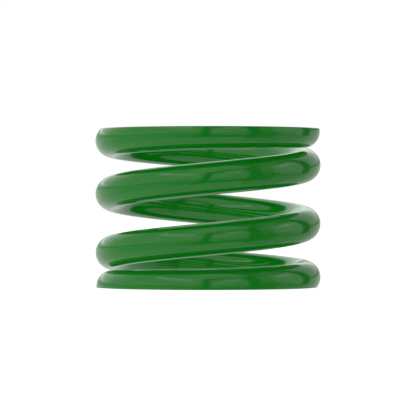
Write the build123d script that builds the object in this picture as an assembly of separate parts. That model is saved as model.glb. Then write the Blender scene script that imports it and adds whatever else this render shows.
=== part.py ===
from build123d import *
import math
import os

# Die spring: one round wire wound right-handed, with its ends closed up and ground flat.
# Sizes are in mm. The coil stands on Z, and the origin is the middle of the bottom ground face.

outer_diameter = 49.0
wire_diameter = 7.0
free_length = 34.5

# The climb of the wire is the same each way from its middle. These are counted in turns from there.
open_turns = 0.835
closed_turns = 1.53
end_turns = 1.727

# Rise per turn of the open coils, and of the end coils where they have closed up.
open_pitch = 12.8
closed_pitch = 3.0

# Where the middle of the wire lies round the axis, in degrees from +X, at the back of the coil.
middle_angle = 90.0

# The bottom end is ground a little deeper than the top, so the coil sits lower by this much.
grinding_offset = 0.2

# Points of the centre line in each turn.
points_per_turn = 24

mean_radius = (outer_diameter - wire_diameter) / 2


def height_from_middle(turns):
    """Rise of the centre line: a steady climb that eases off to the closed pitch."""
    closing = closed_turns - open_turns
    eased = min(max(turns - open_turns, 0), closing)
    flat = max(turns - closed_turns, 0)
    steady = open_pitch * min(turns, closed_turns)
    return steady - (open_pitch - closed_pitch) * eased**2 / (2 * closing) + closed_pitch * flat


def centre_point(turns):
    """Centre of the wire, this many turns above or below its middle."""
    rise = math.copysign(height_from_middle(abs(turns)), turns)
    angle = math.radians(middle_angle + 360 * turns)
    return Vector(
        mean_radius * math.cos(angle),
        mean_radius * math.sin(angle),
        free_length / 2 - grinding_offset + rise,
    )


def centre_line():
    count = round(2 * end_turns * points_per_turn)
    spots = [end_turns * (2 * i / count - 1) for i in range(count + 1)]
    return Spline(*[centre_point(turns) for turns in spots])


def wound_wire():
    path = centre_line()
    section = Plane(path @ 0, z_dir=path % 0) * Circle(wire_diameter / 2)
    return sweep(section, path=path)


def ground_flat(wire):
    """Both ends cut off square to the axis, as a grinding wheel leaves them."""
    reach = 2 * outer_diameter
    kept = Box(reach, reach, free_length, align=(Align.CENTER, Align.CENTER, Align.MIN))
    return wire & kept


coil = ground_flat(wound_wire())

os.makedirs("parts", exist_ok=True)
export_step(coil, "parts/coil.step")
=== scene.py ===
import math
from functools import partial

import bmesh
import bpy
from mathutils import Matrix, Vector


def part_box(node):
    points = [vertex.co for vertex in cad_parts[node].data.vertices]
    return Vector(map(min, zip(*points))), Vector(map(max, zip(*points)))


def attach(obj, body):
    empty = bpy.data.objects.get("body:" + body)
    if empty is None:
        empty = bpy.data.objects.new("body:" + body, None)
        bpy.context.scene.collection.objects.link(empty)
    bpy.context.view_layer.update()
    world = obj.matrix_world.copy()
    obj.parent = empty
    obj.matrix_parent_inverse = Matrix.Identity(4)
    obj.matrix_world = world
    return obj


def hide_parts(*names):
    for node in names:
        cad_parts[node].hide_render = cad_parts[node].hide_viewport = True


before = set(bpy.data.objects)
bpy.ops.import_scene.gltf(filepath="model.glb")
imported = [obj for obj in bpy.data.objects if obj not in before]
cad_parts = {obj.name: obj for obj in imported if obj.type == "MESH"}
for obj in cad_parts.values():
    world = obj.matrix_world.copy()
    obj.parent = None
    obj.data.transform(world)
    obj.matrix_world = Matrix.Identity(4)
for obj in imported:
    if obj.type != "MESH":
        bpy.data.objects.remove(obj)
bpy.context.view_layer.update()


# A maths node; its numbers are typed in and its sockets are linked
def calc(tree, operation, *values):
    node = tree.nodes.new("ShaderNodeMath")
    node.operation = operation
    for slot, value in enumerate(values):
        if isinstance(value, (int, float)):
            node.inputs[slot].default_value = value
        else:
            tree.links.new(value, node.inputs[slot])
    return node.outputs[0]


# Named inputs of a node group, in order, and their sockets by name
def addInputs(tree, wanted):
    for name, kind in wanted:
        tree.interface.new_socket(name=name, in_out="INPUT", socket_type=kind)
    source = tree.nodes.new("NodeGroupInput")
    return {name: source.outputs[name] for name, kind in wanted}


# The coil: one green enamelled wire. Lengths in metres, turns counted from the wire's middle.
coil = {
    "name": "woundWire",
    "wireDiameter": 0.0070,
    "openPitch": 0.0128,
    "closedPitch": 0.0030,
    "openTurns": 0.835,
    "closedTurns": 1.53,
    "endTurns": 1.727,
    "middleAngle": 90,
    "grindingOffset": 0.0002,
    "groundEdge": 0.00010,
    "tipEdge": 0.00025,
    "rings": 560,
    "sides": 132,
    "flatSides": 22,
    "mergeDistance": 0.0000005,
}


# The wound wire as a grid of rings and sides, put in place by the rule of the coil
def buildWireTree():
    tree = bpy.data.node_groups.new("windWire", "GeometryNodeTree")
    number, whole = "NodeSocketFloat", "NodeSocketInt"
    given = addInputs(tree, [
        ("Mean Radius", number), ("Wire Radius", number), ("Coil Middle", number),
        ("Room Above", number), ("Room Below", number), ("Open Pitch", number),
        ("Closed Pitch", number), ("Open Turns", number), ("Closed Turns", number),
        ("End Turns", number), ("Middle Angle", number), ("Ground Edge", number),
        ("Tip Edge", number), ("Rings", whole), ("Sides", whole), ("Flat Sides", whole),
        ("Finish", "NodeSocketMaterial"),
    ])
    tree.interface.new_socket(name="Wire", in_out="OUTPUT", socket_type="NodeSocketGeometry")
    do = partial(calc, tree)

    grid = tree.nodes.new("GeometryNodeMeshGrid")
    lastSide = do("ADD", given["Sides"], 1)
    tree.links.new(given["Rings"], grid.inputs["Vertices X"])
    tree.links.new(lastSide, grid.inputs["Vertices Y"])
    index = tree.nodes.new("GeometryNodeInputIndex").outputs[0]
    ring = do("FLOOR", do("DIVIDE", do("ADD", index, 0.5), lastSide))
    side = do("SUBTRACT", index, do("MULTIPLY", ring, lastSide))

    # How far this ring lies past the last plain ring: 1 to 3 turn the corner,
    # 4 and 5 close the tip.
    cornerRings, tipRings = 3, 5
    lastRing = do("SUBTRACT", given["Rings"], 1)
    fromEnd = do("MINIMUM", ring, do("SUBTRACT", lastRing, ring))
    capStep = do("MAXIMUM", do("SUBTRACT", tipRings, fromEnd), 0)
    corner = do("MULTIPLY", do("MINIMUM", capStep, cornerRings), math.pi / 2 / cornerRings)
    inset = do("MULTIPLY", given["Tip Edge"], do("SUBTRACT", 1, do("COSINE", corner)))
    inward = do("COMPARE", capStep, tipRings - 1, 0.1)
    inset = do("ADD", inset, do("MULTIPLY", given["Tip Edge"], inward))
    shrink = do("SUBTRACT", 1, do("DIVIDE", inset, given["Wire Radius"]))
    shrink = do("MULTIPLY", shrink, do("LESS_THAN", capStep, tipRings - 0.5))

    # Turns from the middle of the wire to this ring, less than 0 below it.
    plainRings = do("SUBTRACT", lastRing, 2 * tipRings)
    along = do("DIVIDE", do("SUBTRACT", ring, tipRings), plainRings)
    along = do("MINIMUM", do("MAXIMUM", along, 0), 1)
    signed = do("SUBTRACT", do("MULTIPLY", along, 2), 1)
    end = do("SIGN", signed)
    tipTurns = do("DIVIDE", given["Tip Edge"], do("MULTIPLY", given["Mean Radius"], math.tau))
    plainEnd = do("SUBTRACT", given["End Turns"], tipTurns)
    past = do("MULTIPLY", tipTurns, do("SINE", corner))
    turns = do("ADD", do("MULTIPLY", do("ABSOLUTE", signed), plainEnd), past)

    # The climb eases from the open pitch to the closed pitch.
    closing = do("SUBTRACT", given["Closed Turns"], given["Open Turns"])
    eased = do("MAXIMUM", do("SUBTRACT", turns, given["Open Turns"]), 0)
    eased = do("MINIMUM", eased, closing)
    flat = do("MAXIMUM", do("SUBTRACT", turns, given["Closed Turns"]), 0)
    steady = do("MULTIPLY", given["Open Pitch"], do("MINIMUM", turns, given["Closed Turns"]))
    lost = do("SUBTRACT", given["Open Pitch"], given["Closed Pitch"])
    easing = do("DIVIDE", do("MULTIPLY", eased, eased), do("MULTIPLY", closing, 2))
    rise = do("SUBTRACT", steady, do("MULTIPLY", lost, easing))
    rise = do("ADD", rise, do("MULTIPLY", given["Closed Pitch"], flat))
    rise = do("MULTIPLY", rise, end)
    pitch = do("SUBTRACT", given["Open Pitch"], do("MULTIPLY", lost, do("DIVIDE", eased, closing)))
    lean = do("ARCTANGENT", do("DIVIDE", pitch, do("MULTIPLY", given["Mean Radius"], math.tau)))

    # Room from the wire's centre to a ground face, and the angle at which the round meets it,
    # which stays wide enough that the sides over the top keep their size
    smallestCut = math.radians(12)

    def groundRoom(room):
        room = do("DIVIDE", room, do("COSINE", lean))
        share = do("MINIMUM", do("DIVIDE", room, given["Wire Radius"]), 1)
        return room, do("MAXIMUM", do("ARCCOSINE", share), smallestCut)

    roomAbove, cutAbove = groundRoom(do("SUBTRACT", given["Room Above"], rise))
    roomBelow, cutBelow = groundRoom(do("ADD", given["Room Below"], rise))

    # Angle round the section from its top. A fixed share of the sides crosses each ground face.
    around = do("SUBTRACT", do("DIVIDE", do("MULTIPLY", side, 2), given["Sides"]), 1)
    spread = do("ABSOLUTE", around)
    flatShare = do("DIVIDE", given["Flat Sides"], given["Sides"])
    overTop = do("MINIMUM", do("DIVIDE", spread, flatShare), 1)
    underneath = do("DIVIDE", do("SUBTRACT", spread, do("SUBTRACT", 1, flatShare)), flatShare)
    underneath = do("MAXIMUM", underneath, 0)
    flank = do("DIVIDE", do("SUBTRACT", spread, flatShare),
               do("SUBTRACT", 1, do("MULTIPLY", flatShare, 2)))
    flank = do("MINIMUM", do("MAXIMUM", flank, 0), 1)
    flankAngle = do("SUBTRACT", do("SUBTRACT", math.pi, cutAbove), cutBelow)
    angle = do("ADD", do("MULTIPLY", overTop, cutAbove), do("MULTIPLY", flank, flankAngle))
    angle = do("ADD", angle, do("MULTIPLY", underneath, cutBelow))
    outward = do("MULTIPLY", do("SINE", angle), do("SIGN", around))
    outward = do("MULTIPLY", do("MULTIPLY", outward, given["Wire Radius"]), shrink)
    upward = do("MULTIPLY", do("COSINE", angle), given["Wire Radius"])
    upward = do("SMOOTH_MIN", upward, roomAbove, given["Ground Edge"])
    upward = do("SMOOTH_MAX", upward, do("MULTIPLY", roomBelow, -1), given["Ground Edge"])
    upward = do("MULTIPLY", upward, shrink)

    # The point of the section, set out from the centre line.
    bearing = do("ADD", given["Middle Angle"],
                 do("MULTIPLY", do("MULTIPLY", turns, end), math.tau))
    reach = do("ADD", given["Mean Radius"], outward)
    leant = do("MULTIPLY", upward, do("SINE", lean))
    east = do("ADD", do("MULTIPLY", reach, do("COSINE", bearing)),
              do("MULTIPLY", leant, do("SINE", bearing)))
    north = do("SUBTRACT", do("MULTIPLY", reach, do("SINE", bearing)),
               do("MULTIPLY", leant, do("COSINE", bearing)))
    height = do("ADD", rise, do("MULTIPLY", upward, do("COSINE", lean)))
    height = do("ADD", height, given["Coil Middle"])
    place = tree.nodes.new("ShaderNodeCombineXYZ")
    for socket, value in zip(place.inputs, (east, north, height)):
        tree.links.new(value, socket)

    moved = tree.nodes.new("GeometryNodeSetPosition")
    tree.links.new(grid.outputs["Mesh"], moved.inputs["Geometry"])
    tree.links.new(place.outputs[0], moved.inputs["Position"])
    joined = tree.nodes.new("GeometryNodeMergeByDistance")
    joined.inputs["Distance"].default_value = coil["mergeDistance"]
    realized = tree.nodes.new("GeometryNodeRealizeInstances")
    painted = tree.nodes.new("GeometryNodeSetMaterial")
    tree.links.new(given["Finish"], painted.inputs["Material"])
    result = tree.nodes.new("NodeGroupOutput")
    last = moved
    for node in (joined, realized, painted):
        tree.links.new(last.outputs[0], node.inputs["Geometry"])
        last = node
    tree.links.new(last.outputs[0], result.inputs["Wire"])
    return tree


# Gives each named input of a geometry modifier its value
def setInputs(modifier, values):
    for item in modifier.node_group.interface.items_tree:
        if item.item_type == "SOCKET" and item.in_out == "INPUT":
            modifier[item.identifier] = values[item.name]


# The evaluated shape as a plain mesh, with the modifier gone and the faces pointing out
def plainMesh(holder):
    graph = bpy.context.evaluated_depsgraph_get()
    mesh = bpy.data.meshes.new_from_object(holder.evaluated_get(graph))
    holder.modifiers.clear()
    work = bmesh.new()
    work.from_mesh(mesh)
    bmesh.ops.remove_doubles(work, verts=work.verts, dist=coil["mergeDistance"])
    bmesh.ops.dissolve_degenerate(work, edges=work.edges, dist=0.0000001)
    bmesh.ops.recalc_face_normals(work, faces=work.faces)
    if work.calc_volume(signed=True) < 0:
        bmesh.ops.reverse_faces(work, faces=work.faces)
    for face in work.faces:
        face.smooth = True
    work.to_mesh(mesh)
    work.free()
    mesh.name = holder.name
    holder.data = mesh
    return holder


def makeCoil(finish):
    low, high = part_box("coil")
    meanRadius = (high[0] - low[0] - coil["wireDiameter"]) / 2
    middle = (low[2] + high[2]) / 2 - coil["grindingOffset"]
    holder = bpy.data.objects.new(coil["name"], bpy.data.meshes.new(coil["name"]))
    bpy.context.scene.collection.objects.link(holder)
    winding = holder.modifiers.new("winding", "NODES")
    winding.node_group = buildWireTree()
    setInputs(winding, {
        "Mean Radius": meanRadius,
        "Wire Radius": coil["wireDiameter"] / 2,
        "Coil Middle": middle,
        "Room Above": high[2] - middle,
        "Room Below": middle - low[2],
        "Open Pitch": coil["openPitch"],
        "Closed Pitch": coil["closedPitch"],
        "Open Turns": coil["openTurns"],
        "Closed Turns": coil["closedTurns"],
        "End Turns": coil["endTurns"],
        "Middle Angle": math.radians(coil["middleAngle"]),
        "Ground Edge": coil["groundEdge"],
        "Tip Edge": coil["tipEdge"],
        "Rings": coil["rings"],
        "Sides": coil["sides"],
        "Flat Sides": coil["flatSides"],
        "Finish": finish,
    })
    wire = plainMesh(holder)
    wire.data.materials.clear()
    wire.data.materials.append(finish)
    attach(wire, "root")
    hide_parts("coil")
    return wire


# The paint. Lengths in metres.
enamel = {
    "name": "greenEnamel",
    "colour": (0.0012, 0.185, 0.0060),
    "thinColour": (0.0010, 0.156, 0.0050),
    "roughness": (0.035, 0.075),
    "groundRoughness": 0.10,  # more than the rest, on the ground faces
    "ior": 1.5,
    "haze": 0.10,
    "hazeTint": (0.10, 0.75, 0.13),
    "hazeRoughness": 0.3,
    "peelSize": 0.0016,
    "peelDepth": 0.0000012,
    "cloudSize": 0.016,
    "cloudStart": 0.35,
    "cloudShare": 0.5,
    "grindingPitch": 0.00035,
    "grindingDepth": 0.0000010,
    "skinDepth": 0.00006,
    "seeds": (3.1, 7.7, 1.4),  # cloud, roughness, peel
}


# A 4D noise whose features are about this many metres across
def noise(tree, where, size, detail, seed):
    node = tree.nodes.new("ShaderNodeTexNoise")
    node.noise_dimensions = "4D"
    node.inputs["W"].default_value = seed
    node.inputs["Scale"].default_value = 1 / size
    node.inputs["Detail"].default_value = detail
    tree.links.new(where, node.inputs["Vector"])
    return node.outputs["Fac"]


# Gloss green enamel with faint orange peel, duller on the ground faces, where grinding lines show
def makeEnamel():
    material = bpy.data.materials.new(enamel["name"])
    material.use_nodes = True
    tree = material.node_tree
    shader = tree.nodes["Principled BSDF"]
    where = tree.nodes.new("ShaderNodeTexCoord").outputs["Object"]
    apart = tree.nodes.new("ShaderNodeSeparateXYZ")
    tree.links.new(where, apart.inputs[0])
    low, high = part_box("coil")
    do = partial(calc, tree)

    # 1 on the two ground faces, 0 elsewhere.
    middle = (low[2] + high[2]) / 2
    fromMiddle = do("ABSOLUTE", do("SUBTRACT", apart.outputs["Z"], middle))
    ground = do("GREATER_THAN", fromMiddle, (high[2] - low[2]) / 2 - enamel["skinDepth"])

    cloudSeed, roughSeed, peelSeed = enamel["seeds"]
    cloud = noise(tree, where, enamel["cloudSize"], 2, cloudSeed)
    mix = tree.nodes.new("ShaderNodeMix")
    mix.data_type = "RGBA"
    mix.inputs["A"].default_value = (*enamel["colour"], 1)
    mix.inputs["B"].default_value = (*enamel["thinColour"], 1)
    thin = do("MULTIPLY", do("SUBTRACT", cloud, enamel["cloudStart"]), enamel["cloudShare"])
    tree.links.new(thin, mix.inputs["Factor"])
    tree.links.new(mix.outputs["Result"], shader.inputs["Base Color"])

    smooth, dull = enamel["roughness"]
    patches = noise(tree, where, enamel["cloudSize"] / 3, 4, roughSeed)
    rough = do("MULTIPLY_ADD", patches, dull - smooth, smooth)
    rough = do("MULTIPLY_ADD", ground, enamel["groundRoughness"], rough)
    tree.links.new(rough, shader.inputs["Roughness"])

    peel = noise(tree, where, enamel["peelSize"], 1, peelSeed)
    peel = do("MULTIPLY", peel, enamel["peelDepth"])
    lines = do("SINE", do("MULTIPLY", apart.outputs["Y"], math.tau / enamel["grindingPitch"]))
    lines = do("MULTIPLY", do("MULTIPLY", lines, ground), enamel["grindingDepth"])
    bump = tree.nodes.new("ShaderNodeBump")
    bump.inputs["Distance"].default_value = 1
    tree.links.new(do("ADD", peel, lines), bump.inputs["Height"])
    tree.links.new(bump.outputs[0], shader.inputs["Normal"])
    shader.inputs["IOR"].default_value = enamel["ior"]
    shader.inputs["Sheen Weight"].default_value = enamel["haze"]
    shader.inputs["Sheen Roughness"].default_value = enamel["hazeRoughness"]
    shader.inputs["Sheen Tint"].default_value = (*enamel["hazeTint"], 1)
    return material


# The room round the coil. Angles in degrees: azimuth 0 lies towards the camera and 90 to its right.
studio = {
    "name": "studioRoom",
    "upper": 1.03,
    "lower": 0.68,
    "ground": 0.91,
    "backdrop": 1.0,
    "paintShare": 0.30,
    "floorEdge": (-34, -26),
    "horizon": (1, 11),
    # azimuth from and to, elevation from and to, softness, rise per degree of azimuth, level
    "panels": {
        "sideFloor": (48, 128, -56, -30, 10, 0, 0.64),
        "leftWall": (-128, -80, 10, 60, 14, 0, 0.84),
        "leftWallFoot": (-200, -111, -50, 1, 16, 0, 0.75),
        "leftCeiling": (-200, -40, 55, 90, 5, 0, 0.74),
        "leftSkirting": (-200, -41, -4.8, -2.0, 3, -0.055, 0.26),
        "leftDado": (-176, -108, 2.5, 8.5, 4, 0, 0.50),
        "leftLedge": (-166, -142, 11, 14, 2, 0, 1.55),
        "leftCorner": (-34, -20, -26, -6, 7, 0, 0.46),
        "slantWindow": (-80, -18, 29, 37.5, 5, -0.25, 2.00),
        "slantWindowSill": (-44, -16, 21, 29, 6, -0.25, 1.38),
        "rightCeiling": (52, 200, 42, 90, 8, 0, 0.26),
        "rightCove": (70, 100, 45, 60, 8, 0, 0.58),
        "rightWall": (57, 200, -38, 45, 7, 0, 0.63),
        "rightSkirting": (123, 200, 3, 8, 3, 0, 0.32),
        "backWallSide": (156, 170, 10, 26, 6, 0, 0.80),
        "backWall": (169, 200, 8, 21, 5, 0, 1.15),
        "frontLowShade": (-16, 46, -33, -11, 6, 0, 0.26),
        "frontCeiling": (4, 45, 34, 53, 6, 0, 0.60),
        "frontCornice": (-6, 13, 37, 44, 6, 0, 0.30),
        "frontBox": (3, 42, -15, 34, 5, 0, 1.10),
        "frontBoxRight": (24, 44, -2, 21, 12, 0, 0.90),
        "frontBoxFoot": (5, 44, -17, 0, 7, 0, 0.69),
        "frontBoxLamp": (18, 34, 25, 33, 5, 0, 1.62),
        "frontBoxCorner": (0, 13, 28, 37, 6, 0, 0.55),
        "frontBoxShoulder": (37, 47, 25, 37, 5, 0, 0.42),
        "sideShade": (50, 78, -34, 5, 8, 0, 0.27),
        "sideShadeTop": (58, 70, 4, 24, 8, 0, 0.48),
        "sideBoxLow": (80, 122, -22, -9, 5, 0, 0.48),
        "sideBoxFoot": (83, 116, -10, 1, 5, 0, 0.72),
        "sideBox": (72, 113, 1, 40, 5, 0, 1.00),
        "sideBoxRight": (99, 114, -10, 25, 8, 0, 0.80),
        "sideBoxLamp": (82, 101, 28, 38, 5, 0, 1.78),
        "frontFlag": (-6.5, 2.5, -24, 42, 8, 0, 0.12),
        "cornerFlag": (42, 57, -38, 49, 6, 0, 0.17),
        "sideFlag": (113.5, 128, -13, 46, 6, 0, 0.12),
    },
}


# One soft-edged panel of the room: inside its angles the level turns to its own
def buildPanelTree():
    tree = bpy.data.node_groups.new("studioPanel", "ShaderNodeTree")
    number = "NodeSocketFloat"
    given = addInputs(tree, [(name, number) for name in (
        "Azimuth", "Elevation", "Behind", "From Azimuth", "To Azimuth",
        "From Elevation", "To Elevation", "Softness", "Tilt", "Level")])
    tree.interface.new_socket(name="Level", in_out="OUTPUT", socket_type=number)
    do = partial(calc, tree)

    # 1 between the two edges, falling to 0 over the softness outside each
    def inside(value, start, stop):
        depth = do("MINIMUM", do("SUBTRACT", value, start), do("SUBTRACT", stop, value))
        ramp = tree.nodes.new("ShaderNodeMapRange")
        ramp.interpolation_type = "SMOOTHSTEP"
        half = do("DIVIDE", given["Softness"], 2)
        tree.links.new(depth, ramp.inputs["Value"])
        tree.links.new(do("MULTIPLY", half, -1), ramp.inputs["From Min"])
        tree.links.new(half, ramp.inputs["From Max"])
        return ramp.outputs["Result"]

    leaning = do("SUBTRACT", given["Elevation"], do("MULTIPLY", given["Tilt"], given["Azimuth"]))
    mask = do("MULTIPLY", inside(given["Azimuth"], given["From Azimuth"], given["To Azimuth"]),
              inside(leaning, given["From Elevation"], given["To Elevation"]))
    change = do("MULTIPLY", do("SUBTRACT", given["Level"], given["Behind"]), mask)
    result = tree.nodes.new("NodeGroupOutput")
    tree.links.new(do("ADD", given["Behind"], change), result.inputs["Level"])
    return tree


# A bright room with soft boxes and dark flags, seen only in the gloss and as soft light
def makeStudio():
    world = bpy.data.worlds.new(studio["name"])
    bpy.context.scene.world = world
    world.use_nodes = True
    tree = world.node_tree
    tree.nodes.clear()
    do = partial(calc, tree)
    toward = tree.nodes.new("ShaderNodeSeparateXYZ")
    tree.links.new(tree.nodes.new("ShaderNodeTexCoord").outputs["Generated"], toward.inputs[0])
    east, north, up = toward.outputs
    degrees = 180 / math.pi
    azimuth = do("MULTIPLY", do("ARCTAN2", east, do("MULTIPLY", north, -1)), degrees)
    elevation = do("MULTIPLY", do("ARCSINE", up), degrees)

    # From the first level to the second between two elevations
    def ramp(start, stop, first, second):
        node = tree.nodes.new("ShaderNodeMapRange")
        node.interpolation_type = "SMOOTHSTEP"
        tree.links.new(elevation, node.inputs["Value"])
        node.inputs["From Min"].default_value = start
        node.inputs["From Max"].default_value = stop
        node.inputs["To Min"].default_value = first
        node.inputs["To Max"].default_value = second
        return node.outputs["Result"]

    level = do("ADD", ramp(*studio["floorEdge"], studio["ground"], studio["lower"]),
               ramp(*studio["horizon"], 0, studio["upper"] - studio["lower"]))
    panelTree = buildPanelTree()
    for name, numbers in studio["panels"].items():
        panel = tree.nodes.new("ShaderNodeGroup")
        panel.node_tree = panelTree
        panel.label = name
        tree.links.new(azimuth, panel.inputs["Azimuth"])
        tree.links.new(elevation, panel.inputs["Elevation"])
        tree.links.new(level, panel.inputs["Behind"])
        for slot, value in zip(("From Azimuth", "To Azimuth", "From Elevation",
                                "To Elevation", "Softness", "Tilt", "Level"), numbers):
            panel.inputs[slot].default_value = value
        level = panel.outputs["Level"]

    # The gloss sees the whole room, the paint under it a share, and the camera the plain backdrop.
    path = tree.nodes.new("ShaderNodeLightPath")
    seen = path.outputs["Is Camera Ray"]
    dimmed = do("MULTIPLY", path.outputs["Is Diffuse Ray"], 1 - studio["paintShare"])
    level = do("MULTIPLY", level, do("SUBTRACT", 1, dimmed))
    level = do("ADD", do("MULTIPLY", level, do("SUBTRACT", 1, seen)),
               do("MULTIPLY", seen, studio["backdrop"]))
    background = tree.nodes.new("ShaderNodeBackground")
    background.inputs["Color"].default_value = (1, 1, 1, 1)
    tree.links.new(level, background.inputs["Strength"])
    output = tree.nodes.new("ShaderNodeOutputWorld")
    tree.links.new(background.outputs[0], output.inputs["Surface"])


# Shadowless fill, seen only by the paint's own colour: the way each light shines, and its strength.
fill = {
    "spread": 60,
    "lamps": {
        "fillBelow": ((0, 0, 1), 0.66),
        "fillAbove": ((0, 0, -1), 0.50),
        "fillLeft": ((1, 0, 0), 1.45),
        "fillRight": ((-1, 0, 0), 0.66),
        "fillFront": ((0, 1, 0), 1.42),
        "fillBack": ((0, -1, 0), 1.30),
    },
}


# Even light on the paint, hidden from the gloss
def makeFill():
    for name, (way, strength) in fill["lamps"].items():
        data = bpy.data.lights.new(name, "SUN")
        data.energy = strength
        data.angle = math.radians(fill["spread"])
        data.use_shadow = False
        light = bpy.data.objects.new(name, data)
        light.rotation_euler = Vector(way).to_track_quat("-Z", "Y").to_euler()
        light.visible_glossy = False
        bpy.context.scene.collection.objects.link(light)


# The floor, in metres. The gap lies under the coil.
floor = {
    "name": "studioFloor",
    "radius": 3.0,
    "segments": 96,
    "roughness": 0.9,
    "colour": (0.90, 0.90, 0.90),
    "glow": 0.62,
    "gap": 0.00002,
}


# A plain white floor, bright enough to run into the backdrop
def makeFloor():
    low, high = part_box("coil")
    work = bmesh.new()
    bmesh.ops.create_circle(work, cap_ends=True, radius=floor["radius"],
                            segments=floor["segments"])
    mesh = bpy.data.meshes.new(floor["name"])
    work.to_mesh(mesh)
    work.free()
    ground = bpy.data.objects.new(floor["name"], mesh)
    bpy.context.scene.collection.objects.link(ground)
    ground.location.z = low[2] - floor["gap"]
    material = bpy.data.materials.new(floor["name"])
    material.use_nodes = True
    tree = material.node_tree
    shader = tree.nodes["Principled BSDF"]
    shader.inputs["Base Color"].default_value = (*floor["colour"], 1)
    shader.inputs["Roughness"].default_value = floor["roughness"]
    shader.inputs["Specular IOR Level"].default_value = 0
    shader.inputs["Emission Color"].default_value = (1, 1, 1, 1)
    shader.inputs["Emission Strength"].default_value = floor["glow"]
    # Clear from below, so the ground face of the coil can be seen.
    mix = tree.nodes.new("ShaderNodeMixShader")
    tree.links.new(tree.nodes.new("ShaderNodeNewGeometry").outputs["Backfacing"], mix.inputs["Fac"])
    tree.links.new(shader.outputs[0], mix.inputs[1])
    tree.links.new(tree.nodes.new("ShaderNodeBsdfTransparent").outputs[0], mix.inputs[2])
    tree.links.new(mix.outputs[0], tree.nodes["Material Output"].inputs["Surface"])
    mesh.materials.append(material)
    ground.visible_glossy = False
    ground.visible_diffuse = False


# The camera, level with the middle of the coil: metres, then millimetres for the lens.
lens = {
    "name": "frontCamera",
    "distance": 0.681,
    "focal": 270.5,
    "sensor": 36,
    "nearest": 0.01,
}


def makeCamera():
    low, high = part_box("coil")
    data = bpy.data.cameras.new(lens["name"])
    data.lens = lens["focal"]
    data.sensor_width = lens["sensor"]
    data.clip_start = lens["nearest"]
    camera = bpy.data.objects.new(lens["name"], data)
    camera.location = (0, -lens["distance"], (low[2] + high[2]) / 2)
    camera.rotation_euler = (math.radians(90), 0, 0)
    bpy.context.scene.collection.objects.link(camera)
    bpy.context.scene.camera = camera


print("enamel")
greenEnamel = makeEnamel()
print("coil")
makeCoil(greenEnamel)
print("studio,", len(studio["panels"]), "panels")
makeStudio()
print("fill,", len(fill["lamps"]), "lamps")
makeFill()
print("floor")
makeFloor()
print("camera")
makeCamera()
bpy.context.scene.view_settings.view_transform = "Standard"

print("done")
